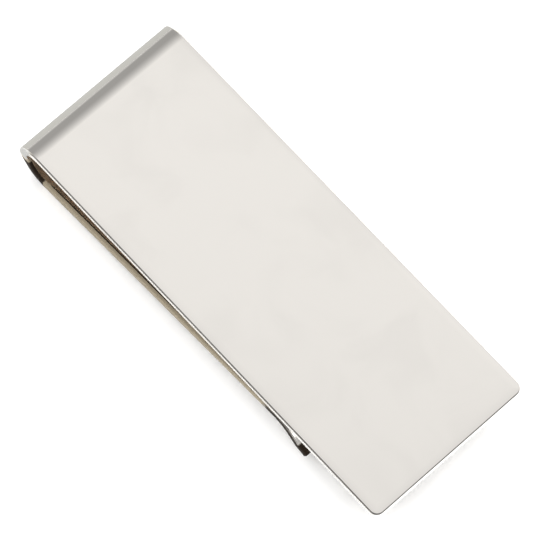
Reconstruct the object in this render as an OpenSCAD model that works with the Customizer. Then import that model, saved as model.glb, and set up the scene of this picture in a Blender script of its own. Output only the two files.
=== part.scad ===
// Money clip: one strip of polished sheet metal, folded back on itself.
// The flat front plate lies on top. At its closed end the strip turns down through a
// half-round fold, and a spring leaf runs back under the plate, rises to a crest that
// grips the notes, and flares away in a short tip that guides them in.
// +X runs from the fold to the free end, +Y across the strip, +Z up through the plate.
// The origin is under the middle of the clip, on the surface that it lies on.

/* [Strip] */
// Overall length, from the nose of the fold to the free end of the plate
clip_length = 51; // [46:0.5:75]
// Width of the strip
strip_width = 19; // [10:0.5:32]
// Thickness of the sheet
sheet = 1; // [0.6:0.05:1.2]
// Radius of the two corners at the free end of the plate, in plan
corner_radius = 0.9; // [0.3:0.1:4]

/* [Fold] */
// Outer radius of the upper bend, from the plate down to the nose
upper_radius = 2.9; // [2:0.1:4]
// Outer radius of the lower bend, from the nose into the shoulder
lower_radius = 1.9; // [1.4:0.1:3]
// Slope of the shoulder under the nose, down from the horizontal
shoulder_angle = 59; // [40:1:72]
// Length of the straight stretch of the shoulder
shoulder_length = 1.3; // [0.5:0.1:3]
// Outer radius of the knee, where the shoulder turns into the leaf
knee_radius = 2.6; // [1.5:0.1:4]

/* [Leaf] */
// Distance from the nose to the crest
crest_reach = 36.7; // [26:0.1:46]
// Radius of the crest's gripping face
crest_radius = 3.5; // [2:0.1:8]
// Slope of the flare behind the crest, down from the horizontal
flare_angle = 48; // [25:1:60]
// Length of the straight stretch of the flare
flare_length = 1.6; // [0.5:0.1:3]
// Slope of the lip that ends the leaf, down from the horizontal
lip_angle = 21; // [5:1:24]
// Length of the lip
lip_length = 1.2; // [0.4:0.1:2]

/* [Fits] */
// Gap between the crest and the plate when the clip is closed
crest_gap = 0.06; // [0.04:0.01:0.2]
// Clearance round the knuckle on which the fold flexes
flex_clearance = 0.05; // [0.03:0.01:0.08]
// Depth to which the knuckle is rooted in the lower bend
knuckle_root = 0.2; // [0.1:0.05:0.25]

/* [Hidden] */
$fn = 96;

silver = [0.86, 0.85, 0.83];

// Radii of the middle of the sheet, on which the whole strip is laid out
half_sheet = sheet / 2;
upper_mid = upper_radius - half_sheet;
lower_mid = lower_radius - half_sheet;
knee_mid = knee_radius - half_sheet;
crest_mid = crest_radius - half_sheet;

// The nose is as high above the ground as the lower bend, shoulder and knee are deep
nose_x = -clip_length / 2;
lower_turn = 90 - shoulder_angle;
nose_z = lower_mid * sin(lower_turn) + shoulder_length * sin(shoulder_angle)
       + knee_mid * (1 - cos(shoulder_angle)) + half_sheet;
plate_z = nose_z + upper_radius;

// Centres of the bends, as [x, z]
upper_centre = [nose_x + upper_radius, nose_z];
lower_centre = [nose_x + lower_radius, nose_z];
crest_centre = [nose_x + crest_reach, plate_z - sheet - crest_gap - crest_radius];
flex_point = [nose_x + half_sheet, nose_z];

// The shoulder leaves the lower bend and meets the knee
shoulder_start = lower_centre + lower_mid * heading(180 + lower_turn);
shoulder_end = shoulder_start + shoulder_length * heading(-shoulder_angle);
knee_centre = shoulder_end + knee_mid * heading(90 - shoulder_angle);

// The blade is the straight line that crosses between the knee and the crest
span = crest_centre - knee_centre;
blade_angle = atan2(span[1], span[0]) + asin((knee_mid + crest_mid) / norm(span));
blade_start = knee_centre + knee_mid * heading(blade_angle - 90);
blade_end = crest_centre + crest_mid * heading(blade_angle + 90);
blade_length = norm(blade_end - blade_start);

// The flare and its lip follow the crest
flare_start = crest_centre + crest_mid * heading(90 - flare_angle);
flare_end = flare_start + flare_length * heading(-flare_angle);
lip_end = flare_end + lip_length * heading(-lip_angle);

function heading(angle) = [cos(angle), sin(angle)];

// Stands a side profile up: its x and y become X and Z, and its z runs across the strip
module side_on() {
    rotate([90, 0, 0])
        children();
}

// A straight stretch of the strip, from a point on the middle of the sheet
module straight(start, angle, length) {
    side_on()
        translate([start[0], start[1], 0])
            rotate([0, 0, angle])
                translate([0, -half_sheet, -strip_width / 2])
                    cube([length, sheet, strip_width]);
}

// A bent stretch of the strip, between two angles seen from the centre of the bend
module bend(centre, mid_radius, from_angle, to_angle) {
    side_on()
        translate([centre[0], centre[1], 0])
            rotate([0, 0, from_angle])
                rotate_extrude(angle = to_angle - from_angle)
                    translate([mid_radius - half_sheet, -strip_width / 2])
                        square([sheet, strip_width]);
}

// A round bar across the strip
module bar(centre, radius, length) {
    side_on()
        translate([centre[0], centre[1], 0])
            cylinder(r = radius, h = length, center = true);
}

// The flat plate that faces out, with its two free corners rounded in plan
module front_plate() {
    plate_length = clip_length - upper_radius;
    color(silver)
        translate([upper_centre[0], 0, plate_z - sheet])
            linear_extrude(sheet) {
                translate([0, -strip_width / 2])
                    square([plate_length - corner_radius, strip_width]);
                translate([0, corner_radius - strip_width / 2])
                    square([plate_length, strip_width - 2 * corner_radius]);
                for (side = [-1, 1])
                    translate([plate_length - corner_radius,
                               side * (strip_width / 2 - corner_radius)])
                        circle(r = corner_radius);
            }
}

// The upper half of the fold, with the round seat in which the knuckle turns
module upper_bend() {
    color(silver)
        difference() {
            bend(upper_centre, upper_mid, 90, 180);
            bar(flex_point, half_sheet + flex_clearance, strip_width + 2 * sheet);
        }
}

// The lower half of the fold, which ends at the nose in the round knuckle
module lower_bend() {
    color(silver)
        union() {
            bend(lower_centre, lower_mid, 180, 180 + lower_turn);
            intersection() {
                bar(flex_point, half_sheet, strip_width);
                translate([nose_x, -strip_width / 2, nose_z - knuckle_root])
                    cube([sheet, strip_width, sheet]);
            }
        }
}

// The straight slope under the nose, which gives the clip its depth
module shoulder() {
    color(silver)
        straight(shoulder_start, -shoulder_angle, shoulder_length);
}

// The bend where the shoulder turns back under the plate
module knee_bend() {
    color(silver)
        bend(knee_centre, knee_mid, -90 - shoulder_angle, blade_angle - 90);
}

// The long straight blade that does the springing
module spring_leaf() {
    color(silver)
        straight(blade_start, blade_angle, blade_length);
}

// The rounded crest that presses the notes against the plate
module crest_bend() {
    color(silver)
        bend(crest_centre, crest_mid, 90 - flare_angle, 90 + blade_angle);
}

// The flare that lets the notes slide in, ending in a flatter lip
module lift_tip() {
    flare_side = half_sheet * heading(90 - flare_angle);
    lip_side = half_sheet * heading(90 - lip_angle);
    half_kink = (flare_angle - lip_angle) / 2;
    kink_side = half_sheet / cos(half_kink) * heading(90 - lip_angle - half_kink);
    color(silver)
        side_on()
            linear_extrude(strip_width, center = true)
                polygon([flare_start + flare_side, flare_end + kink_side, lip_end + lip_side,
                         lip_end - lip_side, flare_end - kink_side, flare_start - flare_side]);
}

front_plate();
upper_bend();
lower_bend();
shoulder();
knee_bend();
spring_leaf();
crest_bend();
lift_tip();
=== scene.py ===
import math

import bmesh
import bpy
from bpy.props import FloatProperty, FloatVectorProperty, IntProperty, PointerProperty
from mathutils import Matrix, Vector


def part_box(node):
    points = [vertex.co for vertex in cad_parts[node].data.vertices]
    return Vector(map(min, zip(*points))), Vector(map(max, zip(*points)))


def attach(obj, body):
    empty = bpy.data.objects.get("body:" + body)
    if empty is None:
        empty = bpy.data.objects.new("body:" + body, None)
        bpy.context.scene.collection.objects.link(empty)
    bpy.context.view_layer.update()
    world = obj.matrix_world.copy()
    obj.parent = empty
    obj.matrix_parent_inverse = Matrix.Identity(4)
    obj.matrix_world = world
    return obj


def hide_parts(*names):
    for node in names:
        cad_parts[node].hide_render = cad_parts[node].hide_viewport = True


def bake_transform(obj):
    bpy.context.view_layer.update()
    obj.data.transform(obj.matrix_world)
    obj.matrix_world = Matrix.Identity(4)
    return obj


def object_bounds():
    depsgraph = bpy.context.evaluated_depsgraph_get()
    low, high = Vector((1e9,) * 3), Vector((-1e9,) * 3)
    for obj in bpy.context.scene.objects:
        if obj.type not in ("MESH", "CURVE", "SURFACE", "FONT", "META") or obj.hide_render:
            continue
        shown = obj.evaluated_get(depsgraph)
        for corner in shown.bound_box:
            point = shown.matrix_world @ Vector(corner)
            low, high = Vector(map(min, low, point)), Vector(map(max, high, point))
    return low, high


bl_info = {
    "name": "Folded Money Clip",
    "version": (1, 0, 0),
    "blender": (4, 5, 0),
    "location": "View3D > Sidebar > Money Clip",
    "description": "Models a one-strip silver money clip around its packed frame",
    "category": "Object",
}

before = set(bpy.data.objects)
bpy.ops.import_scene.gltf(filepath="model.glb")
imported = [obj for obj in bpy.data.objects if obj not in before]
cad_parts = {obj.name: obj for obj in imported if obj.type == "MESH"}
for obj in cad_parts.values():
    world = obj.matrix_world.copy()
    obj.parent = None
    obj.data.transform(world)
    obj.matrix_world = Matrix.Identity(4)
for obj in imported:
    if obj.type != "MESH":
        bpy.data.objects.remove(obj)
FRAME_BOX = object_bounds()

MM = 0.001
PLATE_LOW, PLATE_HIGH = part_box("front_plate")
LOWER_BEND_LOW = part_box("lower_bend")[0]
NOSE_X = LOWER_BEND_LOW.x
SHOULDER_LOW, SHOULDER_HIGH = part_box("shoulder")
CREST_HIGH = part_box("crest_bend")[1]
TIP_LOW, TIP_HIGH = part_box("lift_tip")

SHEET = PLATE_HIGH.z - PLATE_LOW.z
HALF_SHEET = SHEET / 2
WIDTH = PLATE_HIGH.y - PLATE_LOW.y
UPPER_RADIUS = PLATE_LOW.x - NOSE_X
NOSE_Z = PLATE_HIGH.z - UPPER_RADIUS
CLOSE_ENOUGH = 0.05 * MM


# Sizes and colours that a user would change


class ClipSizes(bpy.types.PropertyGroup):
    """Sizes of the strip that the frame's boxes don't give"""

    arris: FloatProperty(name="Arris", description="Radius of the softened edges of the sheet",
                         default=0.16 * MM, min=0.05 * MM, max=0.4 * MM, unit="LENGTH")
    corner: FloatProperty(name="Corner", description="Radius of the plate's free corners, in plan",
                          default=0.9 * MM, min=0.3 * MM, max=4 * MM, unit="LENGTH")
    shoulder_slope: FloatProperty(name="Shoulder slope", description="Slope of the shoulder under the nose",
                                  default=math.radians(59), subtype="ANGLE")
    crest_radius: FloatProperty(name="Crest", description="Radius of the crest's gripping face",
                                default=3.5 * MM, unit="LENGTH")
    flare_slope: FloatProperty(name="Flare slope", description="Slope of the flare behind the crest",
                               default=math.radians(48), subtype="ANGLE")
    lip_slope: FloatProperty(name="Lip slope", description="Slope of the lip that ends the leaf",
                             default=math.radians(21), subtype="ANGLE")
    lip_bend: FloatProperty(name="Lip bend", description="Inner radius of the crease before the lip",
                            default=0.15 * MM, unit="LENGTH")
    seam_lap: FloatProperty(name="Seam lap", description="Flat stretch that the fold has past its bends",
                            default=2 * MM, unit="LENGTH")
    bend_step: FloatProperty(name="Bend step", description="Turn of one facet in a bend",
                             default=math.radians(2), subtype="ANGLE")
    arris_steps: IntProperty(name="Arris steps", description="Facets across a softened edge",
                             default=6, min=2, max=12)
    corner_steps: IntProperty(name="Corner steps", description="Facets round a corner of the plate",
                              default=16, min=4, max=32)


class SilverLook(bpy.types.PropertyGroup):
    """Colour and polish of the silver, and the colours of the shade and reflections that are painted on its
    sides and lip
    """

    colour: FloatVectorProperty(name="Silver", description="Colour of the polished face",
                                default=(0.95, 0.932, 0.895), size=3, subtype="COLOR", min=0, max=1)
    tarnish: FloatVectorProperty(name="Tarnish", description="Colour in the gap, where a cloth can't reach",
                                 default=(0.72, 0.61, 0.49), size=3, subtype="COLOR", min=0, max=1)
    # Painted reflection: a warm grey on the leaf's sides that stands in for the shadowed floor beside the
    # clip, mirrored there
    painted_reflection: FloatVectorProperty(name="Film", description="Dull warm film on the leaf's sawn sides",
                              default=(0.37, 0.32, 0.235), size=3, subtype="COLOR", min=0, max=1)
    # Painted reflection: a pale grey on the sides of the nose that stands in for the floor mirrored there
    pale_painted_reflection: FloatVectorProperty(name="Pale film", description="Dull grey on the sides of the nose",
                                   default=(0.55, 0.55, 0.53), size=3, subtype="COLOR", min=0, max=1)
    # Painted shade: a near black on the shoulder's flank, the flare's sides, the lip and two fine edge
    # lines, standing in for the shadowed floor and the gap's shade mirrored there
    painted_shade: FloatVectorProperty(name="Oxide", description="Dark oxide on the leaf's sides at its steep bends",
                               default=(0.025, 0.018, 0.012), size=3, subtype="COLOR", min=0, max=1)
    polish: FloatProperty(name="Polish", description="Roughness of the cleanest metal",
                          default=0.045, min=0.0, max=0.5)
    haze: FloatProperty(name="Haze", description="Roughness that handling adds",
                        default=0.05, min=0.0, max=0.5)
    roll_width: FloatProperty(name="Roll width", description="Width along the edges that buffing rounds",
                              default=0.9 * MM, unit="LENGTH")
    roll_depth: FloatProperty(name="Roll depth", description="Height that buffing takes off at the edges",
                              default=0.02 * MM, unit="LENGTH")


class StudioSetup(bpy.types.PropertyGroup):
    """Camera and light of the studio"""

    azimuth: FloatProperty(name="Azimuth", description="Turn of the camera round the clip",
                           default=math.radians(47.8), subtype="ANGLE")
    elevation: FloatProperty(name="Elevation", description="Height of the camera above the horizon",
                             default=math.radians(71.2), subtype="ANGLE")
    distance: FloatProperty(name="Distance", description="Distance from the camera to the clip",
                            default=442 * MM, unit="LENGTH")
    lens: FloatProperty(name="Lens", description="Focal length in millimetres", default=307)
    aim: FloatVectorProperty(name="Aim", description="Point that the camera aims at, to the right and up",
                             default=(0.12 * MM, 0.36 * MM), size=2, unit="LENGTH")
    wall: FloatProperty(name="Wall", description="Brightness of the room behind the fold", default=0.36)
    dark_wall: FloatProperty(name="Dark wall", description="Brightness of the room in front", default=0.14)
    back_wall: FloatProperty(name="Back wall", description="Brightness of the room at the back", default=0.9)
    ceiling: FloatProperty(name="Ceiling", description="Brightness of the room overhead", default=0.89)
    card: FloatVectorProperty(name="Card", description="Grey card that lies behind the fold",
                              default=(0.33, 0.33, 0.32), size=3, subtype="COLOR", min=0, max=1)
    dark_card: FloatVectorProperty(name="Dark card", description="Dark card on the camera's side",
                                   default=(0.12, 0.115, 0.11), size=3, subtype="COLOR", min=0, max=1)
    card_gap: FloatProperty(name="Card gap", description="White floor between the clip and the dark card",
                            default=5 * MM, unit="LENGTH")


# Layout of the strip, seen from the side as (x, z) points in the middle of the sheet


def heading(angle):
    """A unit step in the side view, at an angle above +X"""
    return Vector((math.cos(angle), math.sin(angle)))


def crossing(start, start_angle, end, end_angle):
    """Where the line that leaves start meets the line that reaches end"""
    out = heading(start_angle)
    back = heading(end_angle)
    gap = end - start
    reach = (gap.x * back.y - gap.y * back.x) / (out.x * back.y - out.y * back.x)
    return start + out * reach


def strip_layout(sizes):
    """Centres, radii and ends of every stretch of the strip, worked out from the frame"""
    slope = sizes.shoulder_slope
    lay = {"plate_z": PLATE_HIGH.z - HALF_SHEET}
    lay["upper_centre"] = Vector((PLATE_LOW.x, NOSE_Z))
    lower_turn = math.pi / 2 - slope
    lower_mid = (NOSE_Z - LOWER_BEND_LOW.z) / math.sin(lower_turn) - HALF_SHEET
    lay["lower_turn"] = lower_turn
    lay["lower_centre"] = Vector((NOSE_X + HALF_SHEET + lower_mid, NOSE_Z))
    shoulder_run = SHOULDER_HIGH.x - SHOULDER_LOW.x - SHEET * math.sin(slope)
    shoulder_length = shoulder_run / math.cos(slope)
    lay["shoulder_start"] = lay["lower_centre"] + lower_mid * heading(math.pi + lower_turn)
    lay["shoulder_end"] = lay["shoulder_start"] + shoulder_length * heading(-slope)
    knee_drop = lay["shoulder_end"].y - HALF_SHEET
    knee_mid = knee_drop / (1 - math.cos(slope))
    lay["knee_centre"] = lay["shoulder_end"] + knee_mid * heading(math.pi / 2 - slope)
    crest_mid = sizes.crest_radius - HALF_SHEET
    lay["crest_centre"] = Vector((CREST_HIGH.x - sizes.crest_radius * math.sin(sizes.flare_slope),
                                  CREST_HIGH.z - sizes.crest_radius))
    span = lay["crest_centre"] - lay["knee_centre"]
    blade = math.atan2(span.y, span.x) + math.asin((knee_mid + crest_mid) / span.length)
    lay["blade_slope"] = blade
    lay["blade_start"] = lay["knee_centre"] + knee_mid * heading(blade - math.pi / 2)
    lay["blade_end"] = lay["crest_centre"] + crest_mid * heading(blade + math.pi / 2)
    lay["flare_start"] = lay["crest_centre"] + crest_mid * heading(math.pi / 2 - sizes.flare_slope)
    lay["lip_end"] = Vector((TIP_HIGH.x - HALF_SHEET * math.sin(sizes.lip_slope),
                             TIP_LOW.z + HALF_SHEET * math.cos(sizes.lip_slope)))
    lay["lip_kink"] = crossing(lay["flare_start"], -sizes.flare_slope, lay["lip_end"], -sizes.lip_slope)
    return lay


# Modelling by hand: small steps that each operator below strings together


def clear_selection():
    """Leaves edit mode and deselects every object"""
    if bpy.context.object and bpy.context.object.mode != "OBJECT":
        bpy.ops.object.mode_set(mode="OBJECT")
    bpy.ops.object.select_all(action="DESELECT")


def start_piece(name):
    """Names the new primitive, moves its place into its mesh and opens it for editing"""
    piece = bpy.context.object
    piece.name = name
    piece.data.name = name
    bpy.ops.object.transform_apply(location=True, rotation=True, scale=True)
    bpy.ops.object.mode_set(mode="EDIT")
    return piece


def select_parts(piece, kind, wanted):
    """Selects the faces, edges or verts of the piece in hand that wanted() picks"""
    bpy.ops.mesh.select_mode(type={"faces": "FACE", "edges": "EDGE", "verts": "VERT"}[kind])
    bpy.ops.mesh.select_all(action="DESELECT")
    mesh = bmesh.from_edit_mesh(piece.data)
    for part in getattr(mesh, kind):
        if wanted(part):
            part.select_set(True)
    mesh.select_flush_mode()
    bmesh.update_edit_mesh(piece.data)


def start_section(name, place, slope, sizes, inner_side):
    """A softened cross-section of the sheet, square to the strip, with one face inside the gap"""
    clear_selection()
    bpy.ops.mesh.primitive_plane_add(size=1, location=(place.x, 0, place.y),
                                     rotation=(0, math.pi / 2, 0))
    piece = start_piece(name)
    at = (place.x, 0, place.y)
    bpy.ops.mesh.select_all(action="SELECT")
    bpy.ops.transform.resize(value=(1, WIDTH, SHEET), center_override=at)
    bpy.ops.mesh.select_mode(type="VERT")
    bpy.ops.mesh.bevel(offset=sizes.arris, segments=sizes.arris_steps, profile=0.5,
                       affect="VERTICES", clamp_overlap=False)
    mesh = bmesh.from_edit_mesh(piece.data)
    layer = mesh.verts.layers.float.new("inner")
    for vert in mesh.verts:
        across = vert.co.z - place.y
        vert[layer] = across / HALF_SHEET * inner_side
        along = vert.co.x - place.x
        turned = heading(slope) * along + heading(slope + math.pi / 2) * across
        vert.co.x = place.x + turned.x
        vert.co.z = place.y + turned.y
    bmesh.update_edit_mesh(piece.data)
    bpy.ops.mesh.select_mode(type="FACE")
    bpy.ops.mesh.select_all(action="SELECT")
    return piece


def run_straight(start, end):
    """Draws the selected end of the strip out in a straight line"""
    step = end - start
    bpy.ops.mesh.extrude_region_move(TRANSFORM_OT_translate={"value": (step.x, 0, step.y)})


def run_bend(centre, turn, sizes):
    """Bends the selected end of the strip round a centre; a positive turn carries the heading to the left"""
    steps = max(4, math.ceil(abs(turn) / sizes.bend_step))
    bpy.ops.mesh.spin(steps=steps, angle=turn, center=(centre.x, 0, centre.y), axis=(0, 1, 0),
                      dupli=False)


def finish_piece(piece, seams, inner=None):
    """Merges doubles, turns faces out, keeps the seams crisp and smooths the rest"""
    bpy.ops.mesh.select_all(action="SELECT")
    bpy.ops.mesh.remove_doubles(threshold=0.001 * MM)
    bpy.ops.mesh.normals_make_consistent(inside=False)
    for place, slope in seams:
        along = Vector((math.cos(slope), 0, math.sin(slope)))
        here = Vector((place.x, 0, place.y))
        select_parts(piece, "edges", lambda edge: all(
            abs((vert.co - here).dot(along)) < 0.01 * MM and (vert.co - here).dot(
                Vector((-along.z, 0, along.x))) ** 2 < SHEET ** 2 for vert in edge.verts))
        bpy.ops.mesh.mark_sharp()
    bpy.ops.object.mode_set(mode="OBJECT")
    bpy.ops.object.shade_smooth()
    mesh = piece.data
    if inner is not None:
        layer = mesh.attributes.new("inner", "FLOAT", "POINT")
        layer.data.foreach_set("value", [inner(vert.co) for vert in mesh.vertices])
    smooth = piece.modifiers.new("true_normals", "WEIGHTED_NORMAL")
    smooth.weight = 100
    smooth.keep_sharp = True
    bpy.ops.object.modifier_apply(modifier=smooth.name)
    rest = piece.data.attributes.new("rest_place", "FLOAT_VECTOR", "POINT")
    rest.data.foreach_set("vector", [value for vert in piece.data.vertices for value in vert.co])


def check_fit(piece, nodes, slack):
    """Raises an error when a piece strays from the boxes of the nodes that it stands for"""
    boxes = [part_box(node) for node in nodes]
    for axis in range(3):
        spots = [vert.co[axis] for vert in piece.data.vertices]
        stray_low = abs(min(spots) - min(low[axis] for low, high in boxes))
        stray_high = abs(max(spots) - max(high[axis] for low, high in boxes))
        if max(stray_low, stray_high) > slack[axis] + CLOSE_ENOUGH:
            raise RuntimeError(f"{piece.name} strays from its nodes along {'XYZ'[axis]}")


# Materials


class Value:
    """A shader socket that Python arithmetic can use"""

    def __init__(self, tree, socket):
        self.tree = tree
        self.socket = socket

    def math(self, operation, *others):
        sockets = dict(enumerate((self, *others)))
        return self.tree.add("ShaderNodeMath", {"operation": operation}, sockets)

    def __add__(self, other):
        return self.math("ADD", other)

    def __mul__(self, other):
        return self.math("MULTIPLY", other)

    def __sub__(self, other):
        return self.math("SUBTRACT", other)

    def __truediv__(self, other):
        return self.math("DIVIDE", other)

    def __rsub__(self, other):
        return self.tree.add("ShaderNodeMath", {"operation": "SUBTRACT"}, {0: other, 1: self})

    def __rtruediv__(self, other):
        return self.tree.add("ShaderNodeMath", {"operation": "DIVIDE"}, {0: other, 1: self})

    def __neg__(self):
        return 0 - self

    def __abs__(self):
        return self.math("ABSOLUTE")

    __radd__ = __add__
    __rmul__ = __mul__

    def ramp(self, low, high):
        """0 below low, 1 above high and a smooth rise between"""
        return self.tree.add("ShaderNodeMapRange", {"interpolation_type": "SMOOTHSTEP", "clamp": True},
                             {"Value": self, "From Min": low, "From Max": high}, "Result")

    def above(self, level, soft):
        """1 above a level and 0 below it, softened over a distance"""
        return self.ramp(level - soft / 2, level + soft / 2)

    def below(self, level, soft):
        """1 below a level and 0 above it, softened over a distance"""
        return 1 - self.above(level, soft)


class ShaderTree:
    """The node tree of one material or world"""

    def __init__(self, owner):
        owner.use_nodes = True
        self.tree = owner.node_tree
        self.tree.nodes.clear()

    def add(self, kind, settings=None, sockets=None, output=0):
        """Adds a node, sets it up, fills or links its sockets and gives back one of its outputs"""
        node = self.tree.nodes.new(kind)
        for name, value in (settings or {}).items():
            setattr(node, name, value)
        for name, value in (sockets or {}).items():
            if isinstance(value, Value):
                self.tree.links.new(value.socket, node.inputs[name])
            else:
                node.inputs[name].default_value = value
        return Value(self, node.outputs[output]) if len(node.outputs) else node

    def mix(self, share, low, high):
        """A colour between two others"""
        return self.add("ShaderNodeMix", {"data_type": "RGBA"}, {0: share, 6: low, 7: high}, 2)


def rgba(colour):
    """A colour socket's value"""
    return (*colour, 1)


class StripPlace:
    """Where a point of the silver lies on the strip at rest, as shader values"""

    def __init__(self, shade):
        self.point = shade.add("ShaderNodeAttribute", {"attribute_name": "rest_place"}, output="Vector")
        self.inner = shade.add("ShaderNodeAttribute", {"attribute_name": "inner"}, output="Fac")
        self.x = shade.add("ShaderNodeSeparateXYZ", {}, {0: self.point}, "X")
        self.y = shade.add("ShaderNodeSeparateXYZ", {}, {0: self.point}, "Y")
        self.z = shade.add("ShaderNodeSeparateXYZ", {}, {0: self.point}, "Z")
        self.inset = WIDTH / 2 - abs(self.y)
        self.side = self.inset.below(0.15 * MM, 0.06 * MM)
        self.margin = self.inset.below(0.36 * MM, 0.04 * MM)
        self.under_plate = self.z.below(PLATE_LOW.z - 0.05 * MM, 0.04 * MM)
        self.in_gap = self.inner.above(0.35, 1.1) * self.x.below(10.5 * MM, 3 * MM)


def painted_shade_marks(place):
    """How far the painted shade covers: near black standing in for the dark floor and gap mirrored on the
    shoulder's flank, the flare's sides, the lip and two fine lines along the edges
    """
    shoulder = place.margin * place.x.below(-22.2 * MM, 0.2 * MM) * place.z.below(2.52 * MM, 0.15 * MM)
    outer_part = place.inner.below(0.85, 0.2)
    flare = place.side * place.x.above(9.8 * MM, 0.8 * MM) * place.under_plate * outer_part
    lip = place.x.above(14.6 * MM, 0.2 * MM) * place.z.below(4.9 * MM, 0.2 * MM) * (
        place.inner.above(-0.85, 0.2))
    # Two fine painted shade lines: along the lower edge of the plate's sides and on the leaf's inner face
    # beside its edge under the plate
    along_plate = place.x.above(-22.5 * MM, 1 * MM) * place.x.below(14.5 * MM, 1 * MM)
    plate_line = place.side * along_plate * place.z.above(5.21 * MM, 0.02 * MM) * (
        place.z.below(5.48 * MM, 0.08 * MM))
    beside_margin = place.inset.below(0.5 * MM, 0.04 * MM) * (1 - place.margin)
    leaf_line = beside_margin * place.in_gap * place.x.above(-21.5 * MM, 1 * MM) * place.under_plate
    return (shoulder + flare + lip + plate_line + leaf_line).math("MINIMUM", 1)


def painted_reflection_marks(place):
    """How far the painted reflection of the shadowed floor covers the leaf's sides, up to the flare"""
    low = place.z.below(2.85 * MM, 0.3 * MM)
    blade = place.z.below(5.2 * MM, 0.1 * MM) * place.x.above(-20.5 * MM, 1 * MM)
    return place.margin * place.x.below(10 * MM, 1 * MM) * low.math("MAXIMUM", blade)


def silver_material(look):
    """Hand-polished silver: fine wiping marks, a little haze from handling, a warm tone in the gap, and
    painted shade and reflections on the sides and lip
    """
    material = bpy.data.materials.new("hand_polished_silver")
    shade = ShaderTree(material)
    place = StripPlace(shade)
    painted_shade = painted_shade_marks(place)
    # Painted reflection: the sides of the nose take the pale grey that stands in for the floor mirrored
    # there
    nose = place.side * place.x.below(-23.7 * MM, 1 * MM) * place.z.above(2.95 * MM, 0.3 * MM)
    smears = shade.add("ShaderNodeTexNoise", {}, {"Vector": place.point, "Scale": 130, "Detail": 3,
                                                   "Roughness": 0.5, "Distortion": 0.6}, "Fac")
    stretched = shade.add("ShaderNodeVectorMath", {"operation": "MULTIPLY"},
                          {0: place.point, 1: (0.09, 1, 1)}, "Vector")
    wiping = shade.add("ShaderNodeTexNoise", {}, {"Vector": stretched, "Scale": 9000, "Detail": 2,
                                                   "Roughness": 0.6}, "Fac")
    waves = shade.add("ShaderNodeTexNoise", {}, {"Vector": place.point, "Scale": 90, "Detail": 1}, "Fac")
    edge_gap = place.inset.math("MINIMUM", PLATE_HIGH.x - place.x)
    roll = (1 - edge_gap / look.roll_width).math("MAXIMUM", 0)
    handled = smears.above(0.57, 0.3)
    unpolished = place.in_gap.math("MAXIMUM", place.side)
    roughness = look.polish + look.haze * handled + 0.3 * unpolished + 0.012 * wiping
    handled_tone = shade.mix(handled, rgba(look.colour), rgba(0.975 * Vector(look.colour)))
    colour = shade.mix(place.in_gap, handled_tone, rgba(look.tarnish))
    grain = shade.add("ShaderNodeBump", {}, {"Strength": 0.02, "Distance": 0.002 * MM,
                                              "Height": wiping}, "Normal")
    relief = shade.add("ShaderNodeBump", {}, {"Strength": 1.0, "Distance": 0.006 * MM, "Height": waves,
                                               "Normal": grain}, "Normal")
    edges = shade.add("ShaderNodeBump", {}, {"Strength": 1.0, "Distance": look.roll_depth,
                                              "Height": 1 - roll * roll, "Normal": relief}, "Normal")
    metal = shade.add("ShaderNodeBsdfPrincipled", {}, {"Base Color": colour, "Metallic": 1.0,
                                                        "Roughness": roughness, "Normal": edges})
    # Painted shade and reflections: where the masks cover, a dull shader in warm grey, pale grey or near
    # black takes the place of the mirror
    painted_reflection = shade.mix(nose, rgba(look.painted_reflection), rgba(look.pale_painted_reflection))
    tone = shade.mix(painted_shade, painted_reflection, rgba(look.painted_shade))
    painted_surface = shade.add("ShaderNodeBsdfPrincipled", {}, {"Base Color": tone, "Roughness": 0.6,
                                                       "Specular IOR Level": 0.05})
    painted_cover = painted_reflection_marks(place).math("MAXIMUM", painted_shade).math("MAXIMUM", nose)
    surface = shade.add("ShaderNodeMixShader", {}, {0: painted_cover, 1: metal, 2: painted_surface})
    shade.add("ShaderNodeOutputMaterial", {}, {"Surface": surface})
    return material


def paper_material(name, tone):
    """Plain pale paper"""
    material = bpy.data.materials.new(name)
    shade = ShaderTree(material)
    place = shade.add("ShaderNodeTexCoord", {}, {}, "Object")
    fibre = shade.add("ShaderNodeTexNoise", {}, {"Vector": place, "Scale": 900, "Detail": 4}, "Fac")
    colour = shade.mix(fibre, rgba(0.98 * Vector(tone)), rgba(tone))
    paper = shade.add("ShaderNodeBsdfPrincipled", {}, {"Base Color": colour, "Roughness": 0.9,
                                                        "Specular IOR Level": 0.1})
    shade.add("ShaderNodeOutputMaterial", {}, {"Surface": paper})
    return material


def studio_world(setup):
    """A room that is mid grey all round and bright overhead"""
    world = bpy.data.worlds.new("studio")
    shade = ShaderTree(world)
    direction = shade.add("ShaderNodeTexCoord", {}, {}, "Generated")
    height = shade.add("ShaderNodeSeparateXYZ", {}, {0: direction}, "Z")
    along = shade.add("ShaderNodeSeparateXYZ", {}, {0: direction}, "X")
    across = shade.add("ShaderNodeSeparateXYZ", {}, {0: direction}, "Y")
    rise = ((height - 0.5) / 0.435).math("MAXIMUM", 0).math("MINIMUM", 1).math("POWER", 1.85)
    behind = (-along).ramp(0.2, 0.8)
    sweep = (0.15 - height).ramp(0.0, 0.08)
    ahead = along.ramp(0.5, 0.9) * (0.28 - height).ramp(0.0, 0.08)
    wall = (setup.dark_wall + (setup.wall - setup.dark_wall + 0.17 * sweep) * behind + 0.34 * ahead
            + (setup.back_wall - setup.dark_wall) * across.ramp(0.3, 0.8))
    sky = 0.1 + (setup.ceiling - 0.1) * (across - along).ramp(-0.35, 0.54)
    light = wall + (sky - wall) * rise
    glow = shade.add("ShaderNodeBackground", {}, {"Color": (1, 0.982, 0.968, 1), "Strength": light})
    shade.add("ShaderNodeOutputWorld", {}, {"Surface": glow})
    return world


def shared_silver():
    """The one silver material that all pieces of the strip share"""
    found = bpy.data.materials.get("hand_polished_silver")
    return found or silver_material(bpy.context.scene.clip_look)


# Operators: one for each piece, and one for the stage


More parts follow.
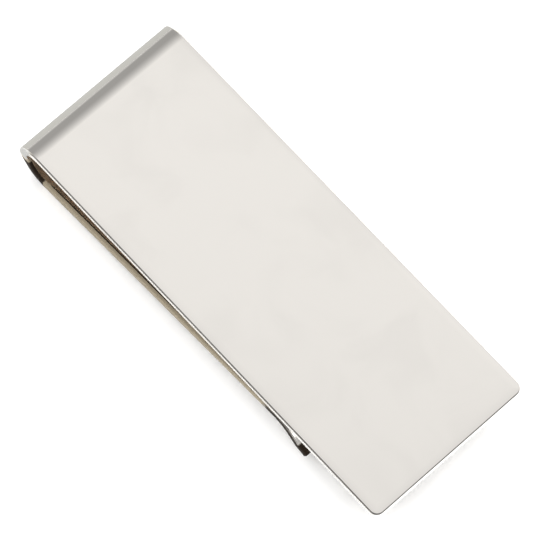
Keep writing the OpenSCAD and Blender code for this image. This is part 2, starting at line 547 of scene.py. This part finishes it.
class CLIP_OT_front_plate(bpy.types.Operator):
    """Model the flat front plate, with its rounded corners and softened edges"""

    bl_idname = "clip.front_plate"
    bl_label = "Front Plate"

    def execute(self, context):
        sizes = context.scene.clip_sizes
        seam_x = PLATE_LOW.x + sizes.seam_lap
        length = PLATE_HIGH.x - seam_x
        middle = (seam_x + length / 2, 0, PLATE_HIGH.z - HALF_SHEET)
        clear_selection()
        bpy.ops.mesh.primitive_cube_add(size=1, location=middle, scale=(length, WIDTH, SHEET))
        piece = start_piece("front_plate_sheet")

        def at_free_end(edge):
            return all(abs(vert.co.x - PLATE_HIGH.x) < CLOSE_ENOUGH for vert in edge.verts)

        def upright(edge):
            return abs(edge.verts[0].co.z - edge.verts[1].co.z) > HALF_SHEET

        def off_the_seam(edge):
            return any(abs(vert.co.x - seam_x) > CLOSE_ENOUGH for vert in edge.verts)

        def flat_outline(edge):
            level = abs(edge.verts[0].co.z - edge.verts[1].co.z) < CLOSE_ENOUGH
            return level and off_the_seam(edge) and len(edge.link_faces) == 2

        select_parts(piece, "edges", lambda edge: upright(edge) and at_free_end(edge))
        bpy.ops.mesh.bevel(offset=sizes.corner, segments=sizes.corner_steps, profile=0.5,
                           affect="EDGES", clamp_overlap=False)
        select_parts(piece, "edges", flat_outline)
        bpy.ops.mesh.bevel(offset=sizes.arris, segments=sizes.arris_steps, profile=0.5,
                           affect="EDGES", clamp_overlap=False)
        seam = Vector((seam_x, middle[2]))
        finish_piece(piece, [(seam, 0)], lambda place: (middle[2] - place.z) / HALF_SHEET)
        piece.data.materials.append(shared_silver())
        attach(piece, "plate")
        check_fit(piece, ["front_plate"], (sizes.seam_lap, 0, 0))
        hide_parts("front_plate")
        return {"FINISHED"}


class CLIP_OT_spring_fold(bpy.types.Operator):
    """Model the fold: the upper bend, the nose, the shoulder and the knee"""

    bl_idname = "clip.spring_fold"
    bl_label = "Spring Fold"

    def execute(self, context):
        sizes = context.scene.clip_sizes
        lay = strip_layout(sizes)
        seam = Vector((PLATE_LOW.x + sizes.seam_lap, lay["plate_z"]))
        bend_start = Vector((PLATE_LOW.x, lay["plate_z"]))
        leaf_seam = lay["blade_start"] + sizes.seam_lap * heading(lay["blade_slope"])
        piece = start_section("spring_fold_sheet", seam, 0, sizes, -1)
        run_straight(seam, bend_start)
        run_bend(lay["upper_centre"], math.pi / 2, sizes)
        run_bend(lay["lower_centre"], lay["lower_turn"], sizes)
        run_straight(lay["shoulder_start"], lay["shoulder_end"])
        run_bend(lay["knee_centre"], sizes.shoulder_slope + lay["blade_slope"], sizes)
        run_straight(lay["blade_start"], leaf_seam)
        finish_piece(piece, [(seam, 0), (leaf_seam, lay["blade_slope"])])
        piece.data.materials.append(shared_silver())
        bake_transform(piece)
        nodes = ["upper_bend", "lower_bend", "shoulder", "knee_bend"]
        check_fit(piece, nodes, (sizes.seam_lap, 0, 0))
        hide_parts(*nodes)
        return {"FINISHED"}


class CLIP_OT_spring_leaf(bpy.types.Operator):
    """Model the spring leaf: the blade, the crest that grips the notes and the flared tip"""

    bl_idname = "clip.spring_leaf"
    bl_label = "Spring Leaf"

    def execute(self, context):
        sizes = context.scene.clip_sizes
        lay = strip_layout(sizes)
        blade = lay["blade_slope"]
        seam = lay["blade_start"] + sizes.seam_lap * heading(blade)
        piece = start_section("spring_leaf_sheet", seam, blade, sizes, 1)
        run_straight(seam, lay["blade_end"])
        run_bend(lay["crest_centre"], -blade - sizes.flare_slope, sizes)
        crease = sizes.lip_bend + HALF_SHEET
        half_turn = (sizes.flare_slope - sizes.lip_slope) / 2
        set_back = crease * math.tan(half_turn)
        crease_start = lay["lip_kink"] - set_back * heading(-sizes.flare_slope)
        crease_end = lay["lip_kink"] + set_back * heading(-sizes.lip_slope)
        crease_centre = crease_start + crease * heading(math.pi / 2 - sizes.flare_slope)
        run_straight(lay["flare_start"], crease_start)
        run_bend(crease_centre, 2 * half_turn, sizes)
        run_straight(crease_end, lay["lip_end"])
        along = Vector((math.cos(sizes.lip_slope), 0, -math.sin(sizes.lip_slope)))
        end = Vector((lay["lip_end"].x, 0, lay["lip_end"].y))
        select_parts(piece, "edges", lambda edge: all(
            abs((vert.co - end).dot(along)) < 0.01 * MM for vert in edge.verts))
        bpy.ops.mesh.bevel(offset=0.25 * sizes.arris, segments=sizes.arris_steps, profile=0.5,
                           affect="EDGES", clamp_overlap=False)
        finish_piece(piece, [(seam, blade)])
        piece.data.materials.append(shared_silver())
        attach(piece, "leaf")
        nodes = ["spring_leaf", "crest_bend", "lift_tip"]
        check_fit(piece, nodes, (sizes.seam_lap, 0, sizes.seam_lap * math.sin(blade)))
        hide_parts(*nodes)
        return {"FINISHED"}


class CLIP_OT_stage(bpy.types.Operator):
    """Set up the pale floor, the soft studio light and the camera"""

    bl_idname = "clip.stage"
    bl_label = "Stage"

    def execute(self, context):
        setup = context.scene.clip_studio
        scene = context.scene
        scene.view_settings.view_transform = "Standard"
        scene.cycles.max_bounces = 64
        scene.cycles.glossy_bounces = 64
        scene.world = studio_world(setup)
        clear_selection()
        lay_paper("floor", (0, 0, 0), (1.6, 1.6), (0.95, 0.95, 0.948))
        reach = 400 * MM
        lay_card("back_card", (FRAME_BOX[0].x - 1 * MM - reach / 2, 0), (reach, 2 * reach), setup.card)
        lay_card("side_card", (0, FRAME_BOX[0].y - setup.card_gap - reach / 2), (2 * reach, reach),
                 setup.dark_card)
        bpy.ops.object.light_add(type="AREA", location=(0, 0, 0.8))
        softbox = context.object
        softbox.name = "softbox"
        softbox.data.shape = "SQUARE"
        softbox.data.size = 1.4
        softbox.data.energy = 18
        softbox.visible_glossy = False
        back = Vector((math.sin(setup.azimuth) * math.cos(setup.elevation),
                       -math.cos(setup.azimuth) * math.cos(setup.elevation), math.sin(setup.elevation)))
        right = Vector((math.cos(setup.azimuth), math.sin(setup.azimuth), 0))
        up = back.cross(right)
        target = Vector((0, 0, FRAME_BOX[1].z / 2)) + right * setup.aim[0] + up * setup.aim[1]
        bpy.ops.object.camera_add(location=target + back * setup.distance)
        camera = context.object
        camera.name = "camera"
        camera.data.lens = setup.lens
        camera.data.clip_start = 0.01
        camera.data.clip_end = 10
        camera.rotation_mode = "QUATERNION"
        camera.rotation_quaternion = (-back).to_track_quat("-Z", "Y")
        scene.camera = camera
        return {"FINISHED"}


def lay_paper(name, place, size, tone):
    """A level sheet of paper of the stage"""
    clear_selection()
    bpy.ops.mesh.primitive_grid_add(x_subdivisions=8, y_subdivisions=8, size=1, location=place)
    paper = start_piece(name)
    bpy.ops.mesh.select_all(action="SELECT")
    bpy.ops.transform.resize(value=(*size, 1), center_override=place)
    bpy.ops.object.mode_set(mode="OBJECT")
    paper.data.materials.append(paper_material(name, tone))
    return paper


def lay_card(name, place, size, tone):
    """A card beside the clip that shows only in the silver's reflections"""
    card = lay_paper(name, (*place, 0.01 * MM), size, tone)
    card.visible_camera = False
    card.visible_diffuse = False
    card.visible_shadow = False


class CLIP_PT_panel(bpy.types.Panel):
    """Money clip tools"""

    bl_idname = "CLIP_PT_panel"
    bl_label = "Money Clip"
    bl_space_type = "VIEW_3D"
    bl_region_type = "UI"
    bl_category = "Money Clip"

    def draw(self, context):
        for operator in OPERATORS:
            self.layout.operator(operator.bl_idname)
        for group in GROUPS:
            settings = getattr(context.scene, group)
            for name in settings.bl_rna.properties.keys():
                if name not in ("rna_type", "name"):
                    self.layout.prop(settings, name)


OPERATORS = (CLIP_OT_front_plate, CLIP_OT_spring_fold, CLIP_OT_spring_leaf, CLIP_OT_stage)
GROUPS = {"clip_sizes": ClipSizes, "clip_look": SilverLook, "clip_studio": StudioSetup}


def register():
    for cls in (*GROUPS.values(), *OPERATORS, CLIP_PT_panel):
        bpy.utils.register_class(cls)
    for name, group in GROUPS.items():
        setattr(bpy.types.Scene, name, PointerProperty(type=group))


def unregister():
    for name in GROUPS:
        delattr(bpy.types.Scene, name)
    for cls in reversed((*GROUPS.values(), *OPERATORS, CLIP_PT_panel)):
        bpy.utils.unregister_class(cls)


def main():
    register()
    bpy.ops.clip.front_plate()
    bpy.ops.clip.spring_fold()
    bpy.ops.clip.spring_leaf()
    bpy.ops.clip.stage()


if __name__ == "__main__":
    main()
